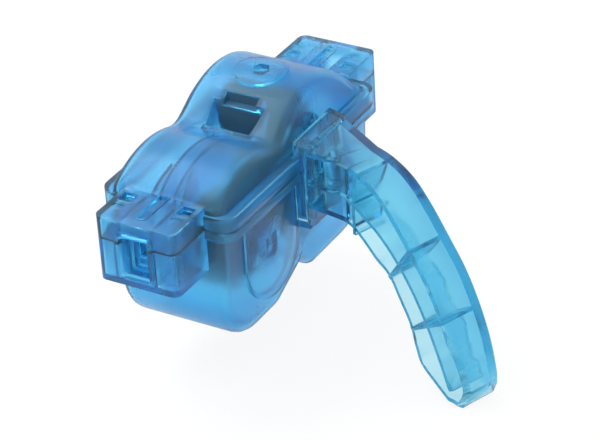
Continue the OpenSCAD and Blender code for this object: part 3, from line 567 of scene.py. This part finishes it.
def white_for_camera(tree, shader, share):
    """Mixes plain white over a shader where camera, glossy and see-through rays meet it."""
    path = add(tree, "ShaderNodeLightPath")
    glow = add(tree, "ShaderNodeEmission", {"Color": WHITE})
    seen = add(tree, "ShaderNodeMath", operation="MAXIMUM")
    seen_too = add(tree, "ShaderNodeMath", operation="MAXIMUM")
    part = add(tree, "ShaderNodeMath", {1: share}, operation="MULTIPLY")
    mix = add(tree, "ShaderNodeMixShader")
    link = tree.links.new
    link(path.outputs["Is Camera Ray"], seen.inputs[0])
    link(path.outputs["Is Glossy Ray"], seen.inputs[1])
    link(seen.outputs["Value"], seen_too.inputs[0])
    link(path.outputs["Is Transmission Ray"], seen_too.inputs[1])
    link(seen_too.outputs["Value"], part.inputs[0])
    link(part.outputs["Value"], mix.inputs[0])
    link(shader, mix.inputs[1])
    link(glow.outputs["Emission"], mix.inputs[2])
    return mix.outputs["Shader"]


def pale_floor(studio):
    bpy.ops.mesh.primitive_plane_add(size=studio.floor_size, location=(0, 0, CAD_LOW.z))
    floor = bpy.context.object
    floor.name = "floor"
    bpy.ops.object.transform_apply(location=True)
    material, tree, shader = new_material("pale_floor")
    set_inputs(shader, {"Base Color": (0.9, 0.9, 0.9, 1), "Roughness": 0.9})
    surface = white_for_camera(tree, shader.outputs["BSDF"], studio.floor_white)
    tree.links.new(surface, tree.nodes["Material Output"].inputs["Surface"])
    dress(floor, material)


def white_room(studio):
    world = bpy.data.worlds.new("studio")
    world.use_nodes = True
    bpy.context.scene.world = world
    tree = world.node_tree
    room = tree.nodes["Background"]
    set_inputs(room, {"Color": WHITE, "Strength": studio.world_level})
    surface = white_for_camera(tree, room.outputs["Background"], 1.0)
    tree.links.new(surface, tree.nodes["World Output"].inputs["Surface"])


def photo_camera(studio):
    """The camera at the photograph's angle: back points from the part to it."""
    a = studio.azimuth
    e = studio.elevation
    back = Vector((math.sin(a) * math.cos(e), -math.cos(a) * math.cos(e), math.sin(e)))
    right = Vector((math.cos(a), math.sin(a), 0))
    up = back.cross(right)
    side = math.cos(studio.roll) * right + math.sin(studio.roll) * up
    top = -math.sin(studio.roll) * right + math.cos(studio.roll) * up
    place = back * studio.distance + side * studio.aside + top * studio.above
    place.z += studio.target_z
    data = bpy.data.cameras.new("camera")
    data.lens = studio.lens
    data.sensor_width = 36
    data.clip_end = 20
    camera = link_object("camera", data)
    camera.matrix_world = Matrix.Translation(place) @ Matrix((side, top, back)).transposed().to_4x4()
    bpy.context.scene.camera = camera


class CHAINCLEANER_OT_stage(bpy.types.Operator):
    """Pale floor, soft light and the camera"""
    bl_idname = "chaincleaner.stage"
    bl_label = "Stage"

    def execute(self, context):
        studio = context.scene.chain_cleaner_studio
        context.scene.view_settings.view_transform = "Standard"
        pale_floor(studio)
        white_room(studio)
        area_lamp("key", (-0.45, 0.0, 0.72), (0, 0, 0), (0.7, 0.5), studio.key_power)
        area_lamp("fill", (0.65, -0.55, 0.35), (0.02, 0, 0), (0.5, 0.5), studio.fill_power)
        photo_camera(studio)
        return {"FINISHED"}


class CHAINCLEANER_PT_panel(bpy.types.Panel):
    """Buttons that make each group of pieces"""
    bl_idname = "CHAINCLEANER_PT_panel"
    bl_label = "Chain cleaner"
    bl_space_type = "VIEW_3D"
    bl_region_type = "UI"
    bl_category = "Chain cleaner"

    def draw(self, context):
        for operator in OPERATORS:
            self.layout.operator(operator.bl_idname)
        for settings in (context.scene.chain_cleaner_shell, context.scene.chain_cleaner_brush,
                         context.scene.chain_cleaner_studio):
            box = self.layout.box()
            for key in settings.__annotations__:
                box.prop(settings, key)


OPERATORS = (CHAINCLEANER_OT_stage, CHAINCLEANER_OT_shells, CHAINCLEANER_OT_handle, CHAINCLEANER_OT_brushes)
SETTINGS = (StudioSettings, ShellSettings, BrushSettings)


def register():
    for cls in SETTINGS + OPERATORS + (CHAINCLEANER_PT_panel,):
        bpy.utils.register_class(cls)
    bpy.types.Scene.chain_cleaner_studio = bpy.props.PointerProperty(type=StudioSettings)
    bpy.types.Scene.chain_cleaner_shell = bpy.props.PointerProperty(type=ShellSettings)
    bpy.types.Scene.chain_cleaner_brush = bpy.props.PointerProperty(type=BrushSettings)


def unregister():
    del bpy.types.Scene.chain_cleaner_brush
    del bpy.types.Scene.chain_cleaner_shell
    del bpy.types.Scene.chain_cleaner_studio
    for cls in reversed(SETTINGS + OPERATORS + (CHAINCLEANER_PT_panel,)):
        bpy.utils.unregister_class(cls)


def main():
    register()
    bpy.ops.chaincleaner.stage()
    bpy.ops.chaincleaner.shells()
    bpy.ops.chaincleaner.handle()
    bpy.ops.chaincleaner.brushes()


if __name__ == "__main__":
    main()
